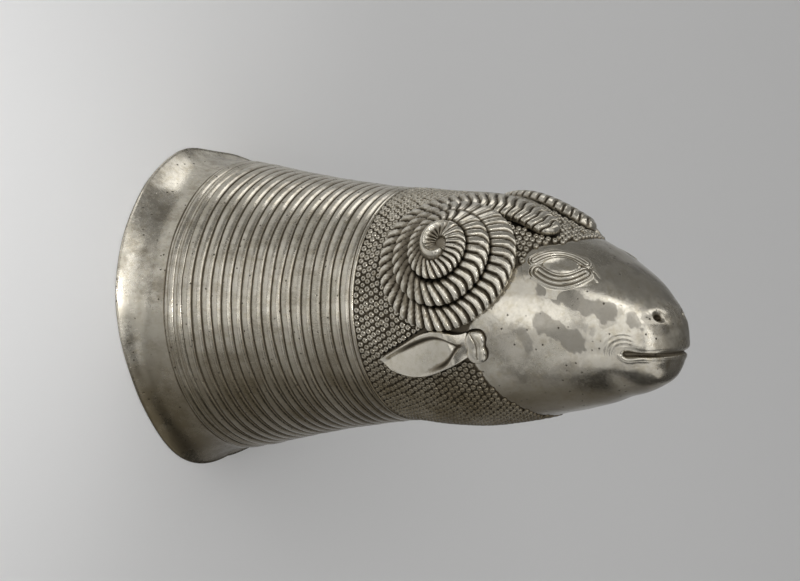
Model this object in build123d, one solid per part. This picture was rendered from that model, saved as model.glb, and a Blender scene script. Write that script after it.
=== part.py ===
from build123d import *
import os
from math import copysign, cos, degrees, pi, radians, sin, sqrt

# A ram's head drinking cup of soldered silver sheet, standing mouth down on its rim.
# The origin is the centre of the rim plane. +Z runs along the cup's axis to the muzzle,
# -X is the crown side, +X the chin side, -Y the ram's right side and +Y its left side.
# Angles round the axis start at the chin: 90 is the left side, 180 the crown, 270 the right side.

# Lip, with the flat rim that the cup stands on
RIM_RADIUS = 55.0
LIP_LENGTH = 16.6
LIP_FOOT_RADIUS = 46.8
LIP_FLARE_SAG = 1.9
LIP_WALL = 1.4

# Ring over the seam between lip and body
SEAT_RADIUS = 45.2
RING_WIDTH = 5.8
RING_RIDGES = 2
RING_BODY = 0.7
RING_RIDGE_HEIGHT = 0.8

# Ribbed body
RIB_COUNT = 17
RIB_PITCH = 3.42
RIB_HEIGHT = 0.65
BODY_TOP_RADIUS = 45.3
BODY_WAIST_SAG = 0.9
BODY_WALL = 1.1

# Neck joint between body and head
NECK_RADIUS = 36.0
SOCKET_DEPTH = 6.0
SOCKET_WALL = 1.1
NECK_RING_WIDTH = 1.6
NECK_RING_HEIGHT = 0.7
SOLDER_GAP = 0.05
SOLDER_LEG = 0.8

# Head, a hollow shell
HEAD_LENGTH = 95.4
HEAD_WALL = 1.4
# Rows of the head's lines, in percent: place along the head's length, then the crown, chin
# and half-width beside the neck radius, the level of the widest point towards the chin, and
# how square the section is, where 200 is an ellipse.
HEAD_LINES = [
    (0, 100, 100, 100, 0, 200),
    (4, 100, 100, 100, 0, 200),
    (11, 98, 102, 100, 0, 200),
    (20, 96, 103.5, 100, 1, 201),
    (30, 94, 103.5, 98, 1, 203),
    (39, 90, 101, 94, 0, 206),
    (48, 82, 97.5, 87, -1, 210),
    (56, 71.5, 93.5, 80, -1, 214),
    (64, 60, 90, 72, 0, 217),
    (71, 51, 86, 65, 3, 218),
    (78, 41, 81.5, 57, 9, 217),
    (85, 29, 76.5, 49, 17, 215),
    (91, 15.5, 70.5, 41, 23, 212),
    (95, 4, 64.5, 34, 26, 210),
    (98, -8, 56, 24, 27, 207),
    (100, -20, 42, 10, 28, 204),
]
SECTION_POINTS = 24

# Mouth slit and nostrils
MOUTH_LEVEL = 15.3
MOUTH_SLIT = 0.9
MOUTH_DEPTH = 0.6
MOUTH_LENGTH = 13.5
NOSTRIL_RADIUS = 1.7
NOSTRIL_RISE = 0.9
NOSTRIL_ALONG = 96.0
NOSTRIL_ANGLE = 228.0

# Coiled horns: a tapering band that winds inward and rises from the head's side
HORN_ALONG = 35.4
HORN_ANGLE = 242.0
HORN_COIL_RADIUS = 20.0
HORN_STEP = 6.6
HORN_TALLNESS = 1.08
HORN_WIDTH = 7.6
HORN_TIP_WIDTH = 2.6
HORN_ROOT_WIDTH = 4.0
HORN_ROOT_REACH = 12.0
HORN_FLATNESS = 0.82
HORN_LIFT = 9.6
HORN_SEAT_LIFT = 0.9
HORN_ROOT_TURN = 42
HORN_ROOT_END = 100
HORN_COIL_START = 180
HORN_TIP_TURN = 1170
HORN_ROOT_SECTIONS = 7
HORN_COIL_SECTIONS = 42
HORN_CORE_FOOT = 13.5
HORN_CORE_TOP = 3.0

# Leaf-shaped ears with a hollow face
EAR_ALONG = 26.4
EAR_ANGLE = 291.0
EAR_TILT = 9.0
EAR_LENGTH = 27.0
EAR_WIDTH = 12.0
EAR_RISE = 3.2
EAR_EDGE = 1.0
EAR_HOLLOW = 2.0
EAR_STEM_RADIUS = 2.2
EAR_STEM_LENGTH = 7.0

# Two-lobed knobs at the ear roots
KNOB_ALONG = 44.6
KNOB_ANGLE = 287.0
KNOB_LOBE_RADIUS = 3.2
KNOB_LOBE_OFFSET = 2.0
KNOB_SINK = 0.4

# Almond eyes
EYE_ALONG = 69.5
EYE_ANGLE = 232.5
EYE_LENGTH = 22.5
EYE_WIDTH = 16.0
EYE_RISE = 1.6
EYE_TILT = 19.0

# Depth to which pieces on the head are drawn before the head's skin trims them
SINK = 5.0

# Sizes that follow from the ones above
RIBS_START = LIP_LENGTH + RING_WIDTH / 2
NECK_HEIGHT = RIBS_START + RIB_COUNT * RIB_PITCH
SOCKET_RADIUS = NECK_RADIUS - SOCKET_WALL
TONGUE_RADIUS = SOCKET_RADIUS - SOLDER_GAP
TONGUE_END = NECK_HEIGHT + SOCKET_DEPTH


def turned(edges):
    """Revolve a closed outline of edges in the XZ plane into a ring about Z."""
    return revolve(Face(Wire(edges)), Axis.Z)


def line(*points):
    """Join (radius, height) points by straight edges in the XZ plane."""
    places = [Vector(radius, 0, height) for radius, height in points]
    return [Edge.make_line(a, b) for a, b in zip(places, places[1:])]


def arc(start, middle, end):
    """One arc through three (radius, height) points in the XZ plane."""
    places = [Vector(radius, 0, height) for radius, height in (start, middle, end)]
    return Edge.make_three_point_arc(*places)


def body_radius(height):
    """Outside radius of the body's smooth line, from the ring's edge to the neck."""
    share = (height - RIBS_START) / (NECK_HEIGHT - RIBS_START)
    straight = BODY_TOP_RADIUS + (NECK_RADIUS - BODY_TOP_RADIUS) * share
    return straight - 4 * BODY_WAIST_SAG * share * (1 - share)


def rib_arcs(count, inset):
    """The first rib arcs from the lip towards the neck, moved inwards by inset."""
    arcs = []
    for rib in range(count):
        low = RIBS_START + rib * RIB_PITCH
        middle = low + RIB_PITCH / 2
        high = low + RIB_PITCH
        start = (body_radius(low) - inset, low)
        crest = (body_radius(middle) + RIB_HEIGHT - inset, middle)
        end = (body_radius(high) - inset, high)
        arcs.append(arc(start, crest, end))
    return arcs


def lip_band():
    """The flared lip: flat at the rim, stepped in under the ring."""
    ring_low = RIBS_START - RING_WIDTH
    half = ring_low / 2
    middle = (RIM_RADIUS + LIP_FOOT_RADIUS) / 2 - LIP_FLARE_SAG
    outside = arc((RIM_RADIUS, 0), (middle, half), (LIP_FOOT_RADIUS, ring_low))
    inside = arc(
        (LIP_FOOT_RADIUS - LIP_WALL, ring_low),
        (middle - LIP_WALL, half),
        (RIM_RADIUS - LIP_WALL, 0),
    )
    skirt = line(
        (LIP_FOOT_RADIUS, ring_low),
        (SEAT_RADIUS, ring_low),
        (SEAT_RADIUS, LIP_LENGTH),
        (SEAT_RADIUS - BODY_WALL, LIP_LENGTH),
        (LIP_FOOT_RADIUS - LIP_WALL, ring_low),
    )
    rim = line((RIM_RADIUS - LIP_WALL, 0), (RIM_RADIUS, 0))
    return turned([outside, *skirt, inside, *rim])


def lip_ring():
    """The ring over the lip seam, with its fine ridges."""
    low = RIBS_START - RING_WIDTH
    bore = SEAT_RADIUS + SOLDER_GAP
    foot = SEAT_RADIUS + RING_BODY
    pitch = RING_WIDTH / RING_RIDGES
    ridges = []
    for ridge in range(RING_RIDGES):
        start = low + ridge * pitch
        crest = (foot + RING_RIDGE_HEIGHT, start + pitch / 2)
        ridges.append(arc((foot, start), crest, (foot, start + pitch)))
    back = line((foot, RIBS_START), (bore, RIBS_START), (bore, low), (foot, low))
    return turned([*ridges, *back])


def lip_solder():
    """The solder bead inside the lip, along the seam between lip and body."""
    wall = SEAT_RADIUS - BODY_WALL
    low = (wall, LIP_LENGTH)
    high = (wall, LIP_LENGTH + 2 * SOLDER_LEG)
    crest = (wall - SOLDER_LEG / 2, LIP_LENGTH + SOLDER_LEG)
    return turned([arc(low, crest, high), *line(high, low)])


def ribbed_wall():
    """The ribbed body: plain under the ring, ribbed to the neck, with a tongue into the head."""
    top = line((SEAT_RADIUS, LIP_LENGTH), (SEAT_RADIUS, RIBS_START), (BODY_TOP_RADIUS, RIBS_START))
    last_rib = NECK_HEIGHT - RIB_PITCH
    tongue = line(
        (NECK_RADIUS, NECK_HEIGHT),
        (TONGUE_RADIUS, NECK_HEIGHT),
        (TONGUE_RADIUS, TONGUE_END),
        (TONGUE_RADIUS - BODY_WALL, TONGUE_END),
        (TONGUE_RADIUS - BODY_WALL, NECK_HEIGHT - BODY_WALL),
        (body_radius(last_rib) - BODY_WALL, last_rib),
    )
    mouth = line(
        (BODY_TOP_RADIUS - BODY_WALL, RIBS_START),
        (SEAT_RADIUS - BODY_WALL, RIBS_START),
        (SEAT_RADIUS - BODY_WALL, LIP_LENGTH),
        (SEAT_RADIUS, LIP_LENGTH),
    )
    outside = rib_arcs(RIB_COUNT, 0)
    inside = rib_arcs(RIB_COUNT - 1, BODY_WALL)
    return turned([*top, *outside, *tongue, *inside, *mouth])


def neck_ring(outer_skin):
    """The half-round ring on the head's neck, over the seam."""
    bore = NECK_RADIUS - SOLDER_LEG
    top = NECK_HEIGHT + NECK_RING_WIDTH
    low, high = (NECK_RADIUS, NECK_HEIGHT), (NECK_RADIUS, top)
    crest = (NECK_RADIUS + NECK_RING_HEIGHT, NECK_HEIGHT + NECK_RING_WIDTH / 2)
    back = line(high, (bore, top), (bore, NECK_HEIGHT), low)
    return turned([arc(low, crest, high), *back]) - outer_skin


def neck_solder():
    """The solder fillet inside the neck, on the end of the tongue."""
    bore = TONGUE_RADIUS - BODY_WALL
    low = (bore, TONGUE_END)
    outer = (bore + SOLDER_LEG, TONGUE_END)
    fillet = turned(line(low, outer, (bore + SOLDER_LEG, TONGUE_END + SOLDER_LEG), low))
    return fillet & head_solid(HEAD_WALL + SOLDER_GAP)


def head_line(column, along):
    """Read one column of HEAD_LINES at a place along the head, on a smooth curve."""
    last = len(HEAD_LINES) - 1
    i = 0
    while i < last - 1 and HEAD_LINES[i + 1][0] < along:
        i += 1

    def slope(row):
        low = HEAD_LINES[max(row - 1, 0)]
        high = HEAD_LINES[min(row + 1, last)]
        return (high[column] - low[column]) / (high[0] - low[0])

    low, high = HEAD_LINES[i], HEAD_LINES[i + 1]
    span = high[0] - low[0]
    t = (along - low[0]) / span
    rise = high[column] - low[column]
    start, end = slope(i) * span, slope(i + 1) * span
    value = low[column] + t * (start + t * (3 * rise - 2 * start - end + t * (start + end - 2 * rise)))
    return value / 100


def head_point(along, angle, inset=0.0):
    """A point on the head's outside, or inset from it, at a place along it and an angle round it."""
    crown = NECK_RADIUS * head_line(1, along) - inset
    chin = NECK_RADIUS * head_line(2, along) - inset
    side = NECK_RADIUS * head_line(3, along) - inset
    widest = NECK_RADIUS * head_line(4, along)
    power = 1 / head_line(5, along)
    depth, width = cos(radians(angle)), sin(radians(angle))
    reach = chin - widest if depth > 0 else crown + widest
    x = widest + reach * copysign(abs(depth) ** (2 * power), depth)
    y = side * copysign(abs(width) ** (2 * power), width)
    return Vector(x, y, NECK_HEIGHT + along / 100 * (HEAD_LENGTH - inset))


def head_seat(along, angle, turn=0.0):
    """A plane lying on the head: its X points to the muzzle, its Z outwards, turned about Z."""
    step = 0.2
    forward = head_point(along + step, angle) - head_point(along - step, angle)
    sideways = head_point(along, angle + step) - head_point(along, angle - step)
    seat = Plane(head_point(along, angle), x_dir=forward, z_dir=sideways.cross(forward))
    return seat.rotated((0, 0, turn))


def head_solid(inset=0.0):
    """The solid inside the head's outside, or inside a skin at a depth below it."""
    sections = []
    for row in HEAD_LINES:
        turns = [360 * k / SECTION_POINTS for k in range(SECTION_POINTS)]
        ring = [head_point(row[0], turn, inset) for turn in turns]
        sections.append(Wire([Edge.make_spline(ring, periodic=True)]))
    return Part() + Solid.make_loft(sections)


def head_shell(outer):
    """The hollow head, with its socket for the body's tongue, the mouth slit and the nostrils."""
    shell = outer - head_solid(HEAD_WALL)
    socket = Cylinder(SOCKET_RADIUS, SOCKET_DEPTH, align=(Align.CENTER, Align.CENTER, Align.MIN))
    shell -= Pos(0, 0, NECK_HEIGHT) * socket
    muzzle = NECK_HEIGHT + HEAD_LENGTH
    slit = Box(MOUTH_SLIT, 2 * NECK_RADIUS, 2 * MOUTH_LENGTH)
    shell -= Pos(MOUTH_LEVEL, 0, muzzle) * slit - head_solid(MOUTH_DEPTH)
    for side in (1, -1):
        seat = head_seat(NOSTRIL_ALONG, 180 + side * (NOSTRIL_ANGLE - 180))
        shell -= seat * Pos(0, 0, NOSTRIL_RISE) * Sphere(NOSTRIL_RADIUS)
    return shell


def horn_place(turn):
    """Place along the head, angle round it and lift above it of the horn's centre line."""
    coil = (turn - HORN_COIL_START) / (HORN_TIP_TURN - HORN_COIL_START)
    radius = HORN_COIL_RADIUS - HORN_STEP * (turn - HORN_COIL_START) / 360
    if turn < HORN_ROOT_END:
        root = (HORN_ROOT_END - turn) / (HORN_ROOT_END - HORN_ROOT_TURN)
        radius += HORN_ROOT_REACH * root * sqrt(root)
    along = HORN_ALONG + 100 * radius * cos(radians(turn)) / HEAD_LENGTH
    angle = HORN_ANGLE - degrees(HORN_TALLNESS * radius * sin(radians(turn)) / NECK_RADIUS)
    return along, angle, HORN_SEAT_LIFT + HORN_LIFT * max(coil, 0.0)


def horn_point(turn):
    """A point on the horn's centre line, and the direction out of the head there."""
    along, angle, lift = horn_place(turn)
    seat = head_seat(along, angle)
    return seat.origin + seat.z_dir * lift, seat.z_dir


def horn_width(turn):
    """Width of the horn's band: narrow at the root, full on the outer turn, narrow at the tip."""
    if turn < HORN_ROOT_END:
        share = (turn - HORN_ROOT_TURN) / (HORN_ROOT_END - HORN_ROOT_TURN)
        return HORN_ROOT_WIDTH + (HORN_WIDTH - HORN_ROOT_WIDTH) * sqrt(sin(share * pi / 2))
    share = (turn - HORN_ROOT_END) / (HORN_TIP_TURN - HORN_ROOT_END)
    return HORN_WIDTH + (HORN_TIP_WIDTH - HORN_WIDTH) * share


def horn_section(turn):
    """The horn's oval section at a turn."""
    centre, outwards = horn_point(turn)
    ahead = horn_point(turn + 1)[0] - horn_point(turn - 1)[0]
    plane = Plane(centre, x_dir=ahead.cross(outwards), z_dir=ahead)
    half = horn_width(turn) / 2
    return Wire.make_ellipse(half, half * HORN_FLATNESS, plane)


def horn(outer_skin):
    """The right horn: its coiled band on a low cone, seated on the head."""
    root_step = (HORN_ROOT_END - HORN_ROOT_TURN) / HORN_ROOT_SECTIONS
    coil_step = (HORN_TIP_TURN - HORN_ROOT_END) / HORN_COIL_SECTIONS
    turns = [HORN_ROOT_TURN + root_step * k for k in range(HORN_ROOT_SECTIONS)]
    turns += [HORN_ROOT_END + coil_step * k for k in range(HORN_COIL_SECTIONS + 1)]
    band = Solid.make_loft([horn_section(turn) for turn in turns])
    seat = head_seat(HORN_ALONG, HORN_ANGLE)
    height = SINK + HORN_LIFT
    core = Cone(HORN_CORE_FOOT, HORN_CORE_TOP, height, align=(Align.CENTER, Align.CENTER, Align.MIN))
    return seat * Pos(0, 0, -SINK) * core + band - outer_skin


def ear_knob(outer_skin, growth=0.0):
    """The right two-lobed knob, seated on the head."""
    seat = head_seat(KNOB_ALONG, KNOB_ANGLE)
    lobe = Sphere(KNOB_LOBE_RADIUS + growth)
    knob = Pos(0, KNOB_LOBE_OFFSET, -KNOB_SINK) * lobe + Pos(0, -KNOB_LOBE_OFFSET, -KNOB_SINK) * lobe
    return seat * knob - outer_skin


def ear(outer_skin):
    """The right ear: a leaf with a hollow face and a stem that ends at the knob."""
    seat = head_seat(EAR_ALONG, EAR_ANGLE, EAR_TILT)
    half = EAR_LENGTH / 2
    tip, root = (-half, 0), (half, 0)
    upper = ThreePointArc(tip, (0, EAR_WIDTH / 2), root)
    lower = ThreePointArc(root, (0, -EAR_WIDTH / 2), tip)
    leaf = Pos(0, 0, -SINK) * extrude(make_face([upper, lower]), SINK + EAR_RISE)
    bowl = Sphere(1.0).scale((half - 2 * EAR_EDGE, EAR_WIDTH / 2 - EAR_EDGE, EAR_HOLLOW))
    stem = Rot(0, 90, 0) * Cylinder(EAR_STEM_RADIUS, EAR_STEM_LENGTH)
    shape = leaf - Pos(0, 0, EAR_RISE) * bowl + Pos(half, 0, 0) * stem
    return seat * shape - outer_skin - ear_knob(Part(), SOLDER_GAP)


def eye(outer_skin):
    """The right eye: an almond boss seated on the head."""
    seat = head_seat(EYE_ALONG, EYE_ANGLE, EYE_TILT)
    half = EYE_LENGTH / 2
    upper = ThreePointArc((-half, 0), (0, EYE_WIDTH / 2), (half, 0))
    lower = ThreePointArc((half, 0), (0, -EYE_WIDTH / 2), (-half, 0))
    almond = Pos(0, 0, -SINK) * extrude(make_face([upper, lower]), 2 * SINK)
    dome_radius = (half ** 2 + (2 * EYE_RISE) ** 2) / (4 * EYE_RISE)
    dome = Pos(0, 0, EYE_RISE - dome_radius) * Sphere(dome_radius)
    return seat * (almond & dome) - outer_skin


def save(name, shape):
    """Write one piece to its own file."""
    shape.label = name
    export_step(shape, os.path.join("parts", name + ".step"))


def main():
    os.makedirs("parts", exist_ok=True)
    save("lip_band", lip_band())
    save("lip_ring", lip_ring())
    save("lip_solder", lip_solder())
    save("ribbed_wall", ribbed_wall())
    save("neck_solder", neck_solder())
    save("head_shell", head_shell(head_solid()))
    outer_skin = head_solid(-SOLDER_GAP)
    save("neck_ring", neck_ring(outer_skin))
    for name, make in (("horn", horn), ("ear", ear), ("ear_knob", ear_knob), ("eye", eye)):
        right = make(outer_skin)
        save(name + "_right", right)
        save(name + "_left", mirror(right, about=Plane.XZ))


main()
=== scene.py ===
import math

import bpy
import numpy as np
from mathutils import Matrix, Vector


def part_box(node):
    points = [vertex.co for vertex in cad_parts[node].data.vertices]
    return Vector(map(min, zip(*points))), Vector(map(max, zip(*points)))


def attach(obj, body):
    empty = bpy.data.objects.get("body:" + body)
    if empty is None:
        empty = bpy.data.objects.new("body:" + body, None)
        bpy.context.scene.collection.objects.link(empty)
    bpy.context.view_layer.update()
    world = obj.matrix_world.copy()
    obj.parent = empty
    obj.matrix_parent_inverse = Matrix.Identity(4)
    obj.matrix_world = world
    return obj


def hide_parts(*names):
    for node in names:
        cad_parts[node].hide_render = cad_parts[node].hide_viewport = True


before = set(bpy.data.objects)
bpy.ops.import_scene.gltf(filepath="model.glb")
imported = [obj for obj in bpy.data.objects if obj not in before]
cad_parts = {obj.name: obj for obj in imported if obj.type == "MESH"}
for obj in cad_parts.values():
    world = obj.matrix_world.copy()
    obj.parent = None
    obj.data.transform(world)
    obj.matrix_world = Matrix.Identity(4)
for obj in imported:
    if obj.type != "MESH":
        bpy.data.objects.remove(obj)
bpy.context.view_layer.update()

# The silver ram's head cup stands mouth down on its rim. +Z runs to the muzzle, -X is the crown
# side, +X the chin side, -Y the ram's right side. Lengths are millimetres until a mesh is made.
# Angles round the axis are degrees from the chin: 90 is the left side, 180 the crown, 270 the right.
MM = 0.001
SEED = 11
# Numbers of the random generators, one for each use
FLEECE_DRAWS, DENT_DRAWS, RIM_DRAWS, RING_DRAWS, RIB_DRAWS, NECK_DRAWS = range(6)
HAMMER_DRAWS, STAIN_DRAWS, SPECK_DRAWS = range(6, 9)


def seeded(number):
    """The random generator of one use, the same in each run."""
    return np.random.default_rng(SEED + number)


def box_mm(node):
    """Lowest and highest corner of a CAD node, in millimetres."""
    low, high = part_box(node)
    return np.array(low) / MM, np.array(high) / MM


# Heights and radii read from the frame
RIM_RADIUS = box_mm("lip_band")[1][0]
LIP_TOP = box_mm("lip_band")[1][2]
RING_LOW, RIBS_START = box_mm("lip_ring")[0][2], box_mm("lip_ring")[1][2]
NECK_HEIGHT, MUZZLE_HEIGHT = box_mm("head_shell")[0][2], box_mm("head_shell")[1][2]
NECK_RING_TOP = box_mm("neck_ring")[1][2]
TONGUE_END = box_mm("ribbed_wall")[1][2]
HEAD_LENGTH = MUZZLE_HEIGHT - NECK_HEIGHT

# Cup, as the CAD pieces have it
LIP_FOOT_RADIUS = 46.8
LIP_FLARE_SAG = 1.9
LIP_WALL = 1.4
SEAT_RADIUS = 45.2
RING_RIDGE_HEIGHT = 0.5
RIB_COUNT = 17
RIB_HEIGHT = 0.65
BODY_TOP_RADIUS = 45.3
BODY_WAIST_SAG = 0.9
BODY_WALL = 1.1
NECK_RADIUS = 36.0
NECK_RING_HEIGHT = 0.7

# Head lines in percent, as the CAD head has them: place along the head, crown, chin, half-width,
# level of the widest point, squareness. The muzzle's end is rounded off between the last rows.
HEAD_LINES = np.array([
    (0, 100, 100, 100, 0, 200),
    (4, 100, 100, 100, 0, 200),
    (11, 98, 102, 100, 0, 200),
    (20, 96, 103.5, 100, 1, 201),
    (30, 94, 103.5, 98, 1, 203),
    (39, 90, 101, 94, 0, 206),
    (48, 82, 97.5, 87, -1, 210),
    (56, 71.5, 93.5, 80, -1, 214),
    (64, 60, 90, 72, 0, 217),
    (71, 51, 86, 65, 3, 218),
    (78, 41, 81.5, 57, 9, 217),
    (85, 29, 76.5, 48.5, 17, 215),
    (91, 15.5, 70.5, 39.7, 23, 212),
    (95, 1.5, 64.5, 32.8, 26, 210),
    (97, -6.5, 60.5, 27.2, 28, 208),
    (98.5, -17, 55, 20.2, 30, 206),
    (99.6, -24, 46, 11.8, 31, 204),
]) / 100
MUZZLE_TIP_LEVEL = 0.31
LINE_SMOOTHING = 1.6
LINE_STEPS, KNOT_EVERY = 1200, 10
SECTION_SMOOTHING = 0.07


# Small tools for arrays


def ease(start, end, value):
    """0 before start, 1 after end, an easy curve between; start may be the larger one."""
    share = np.clip((value - start) / (end - start), 0, 1)
    return share * share * (3 - 2 * share)


def bell(value, width):
    """A bell curve of height 1."""
    return np.exp(-(value / width) ** 2)


def signed_power(value, power):
    """A power of the value's size, with the value's sign."""
    return np.sign(value) * np.abs(value) ** power


def deepest(*recesses):
    """The largest of several recess values at each point."""
    return np.max(np.broadcast_arrays(*recesses), axis=0)


def unit(vectors):
    """Vectors scaled to length 1."""
    return vectors / np.linalg.norm(vectors, axis=-1, keepdims=True)


def running_sum(steps):
    """Running sum of the steps, from 0."""
    return np.concatenate([[0], np.cumsum(steps)])


def path_length(points):
    """Length along a row of points, from 0 at the first one."""
    return running_sum(np.linalg.norm(np.diff(points, axis=0), axis=1))


def round_turns(count):
    """Angles of count places spread evenly round a circle, in radians."""
    return np.arange(count) * 2 * np.pi / count


def spline(knots, values, places):
    """Natural cubic spline through the knots, read at the places."""
    knots, values = np.asarray(knots, float), np.asarray(values, float)
    gaps = np.diff(knots)
    count = len(knots)
    matrix, side = np.eye(count), np.zeros(count)
    for i in range(1, count - 1):
        matrix[i, i - 1:i + 2] = gaps[i - 1], 2 * (gaps[i - 1] + gaps[i]), gaps[i]
        slopes = np.diff(values[i - 1:i + 2]) / gaps[i - 1:i + 1]
        side[i] = 6 * (slopes[1] - slopes[0])
    bend = np.linalg.solve(matrix, side)
    i = np.clip(np.searchsorted(knots, places) - 1, 0, count - 2)
    after, before, gap = places - knots[i], knots[i + 1] - places, gaps[i]
    cubic = (bend[i] * before ** 3 + bend[i + 1] * after ** 3) / (6 * gap)
    low = (values[i] / gap - bend[i] * gap / 6) * before
    high = (values[i + 1] / gap - bend[i + 1] * gap / 6) * after
    return cubic + low + high


def curve(rows, places):
    """Spline through rows of (place, value), read at the places."""
    return spline(*zip(*rows), places)


def distance_to_line(x, y, line):
    """Distance of each point (x, y) from a line of (x, y) points."""
    best = np.full(np.shape(x), np.inf)
    for (ax, ay), (bx, by) in zip(line, line[1:]):
        dx, dy = bx - ax, by - ay
        share = np.clip(((x - ax) * dx + (y - ay) * dy) / (dx * dx + dy * dy), 0, 1)
        best = np.minimum(best, np.hypot(x - ax - share * dx, y - ay - share * dy))
    return best


def oval(a, b, centre, halves):
    """How far (a, b) lies from an oval's centre: 1 on its edge."""
    return np.hypot((a - centre[0]) / halves[0], (b - centre[1]) / halves[1])


def grid_faces(rows, columns, wrap_rows=False, wrap_columns=False):
    """Quads of a grid of points numbered row by row."""
    number = np.arange(rows * columns).reshape(rows, columns)
    number = np.pad(number, ((0, int(wrap_rows)), (0, int(wrap_columns))), "wrap")
    corners = number[:-1, :-1], number[:-1, 1:], number[1:, 1:], number[1:, :-1]
    return np.stack(corners, -1).reshape(-1, 4)


def fan_faces(loop, centre):
    """Triangles from a closed loop of point numbers to one centre point."""
    return np.stack([loop, np.roll(loop, -1), np.full(len(loop), centre)], -1)


def end_loops(rows, columns):
    """Point numbers of the first and the last row of a grid."""
    return np.arange(columns), np.arange(columns) + (rows - 1) * columns


# The head's smooth outside


def head_table():
    """The head's lines over the path length along its side, continued round the muzzle's tip."""
    along, crown, chin, side, widest, square = HEAD_LINES.T
    height = along * HEAD_LENGTH
    side = side * NECK_RADIUS
    path = running_sum(np.hypot(np.diff(height), np.diff(side)))
    tip = path[-1] + math.hypot(HEAD_LENGTH - height[-1], side[-1])
    places = np.concatenate([path, [tip], 2 * tip - path[::-1]])
    mirrored = {
        "height": np.concatenate([height, [HEAD_LENGTH], height[::-1]]),
        "side": np.concatenate([side, [0], -side[::-1]]),
        "level": NECK_RADIUS * np.concatenate([-crown, [MUZZLE_TIP_LEVEL], chin[::-1]]),
        "widest": NECK_RADIUS * np.concatenate([widest, [MUZZLE_TIP_LEVEL], widest[::-1]]),
        "power": np.concatenate([2 / square, [1], 2 / square[::-1]]),
    }
    fine = np.linspace(0, 2 * tip, LINE_STEPS)
    reach = int(4 * LINE_SMOOTHING / fine[1])
    kernel = bell(np.arange(-reach, reach + 1) * fine[1], math.sqrt(2) * LINE_SMOOTHING)
    kernel /= kernel.sum()
    lines = {}
    for name, values in mirrored.items():
        line = spline(places, values, fine)
        padded = np.concatenate([np.full(reach, line[0]), line, np.full(reach, line[-1])])
        lines[name] = np.convolve(padded, kernel, "valid")[::KNOT_EVERY]
    return tip, fine[::KNOT_EVERY], lines


HEAD_TIP, HEAD_KNOTS, HEAD_CURVES = head_table()


def head_line(name, path):
    """One of the head's lines at places along its path."""
    return spline(HEAD_KNOTS, HEAD_CURVES[name], path)


def head_sections(path, columns):
    """Rings of points on the head's outside at places along its path."""
    path = np.asarray(path, float)[:, None]
    turn = round_turns(columns)
    depth, width = np.cos(turn), np.sin(turn)
    widest, power = head_line("widest", path), head_line("power", path)
    crown, chin = head_line("level", path), head_line("level", 2 * HEAD_TIP - path)
    reach = np.where(depth > 0, chin - widest, widest - crown)
    order = np.arange(columns // 2 + 1)
    keep = np.exp(-np.maximum(order ** 2 - 1, 0) * SECTION_SMOOTHING ** 2 / 2)

    def smoothed(ring):
        return np.fft.irfft(np.fft.rfft(ring, axis=1) * keep, columns, axis=1)

    x = smoothed(widest + reach * signed_power(depth, power))
    y = smoothed(head_line("side", path) * signed_power(width, power))
    z = np.broadcast_to(NECK_HEIGHT + head_line("height", path), x.shape)
    return np.stack([x, y, z], -1)


def grid_normals(points):
    """Outward normals of a grid of rings that run round the axis."""
    along = np.gradient(points, axis=0)
    around = (np.roll(points, -1, 1) - np.roll(points, 1, 1)) / 2
    return unit(np.cross(around, along) + 1e-12)


HEAD_ROWS, HEAD_COLUMNS = 700, 720
HEAD_PATH = np.linspace(0, HEAD_TIP - 0.05, HEAD_ROWS)
HEAD_ALONG = 100 * head_line("height", HEAD_PATH) / HEAD_LENGTH
HEAD_POINTS = head_sections(HEAD_PATH, HEAD_COLUMNS)
HEAD_NORMALS = grid_normals(HEAD_POINTS)


def path_at(along):
    """Path length at a place along the head in percent."""
    return np.interp(along, HEAD_ALONG, HEAD_PATH)


def head_at(along, angle):
    """Points and outward normals on the head, along it in percent and round it in degrees."""
    row = np.clip(np.interp(along, HEAD_ALONG, np.arange(HEAD_ROWS)), 0, HEAD_ROWS - 1.001)
    column = np.asarray(angle, float) * HEAD_COLUMNS / 360
    low, first = np.floor(row).astype(int), np.floor(column).astype(int)
    up, across = (row - low)[..., None], (column - first)[..., None]
    left, right = first % HEAD_COLUMNS, (first + 1) % HEAD_COLUMNS

    def read(table):
        ends = [table[at, left] * (1 - across) + table[at, right] * across for at in (low, low + 1)]
        return ends[0] * (1 - up) + ends[1] * up

    return read(HEAD_POINTS), unit(read(HEAD_NORMALS))


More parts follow.
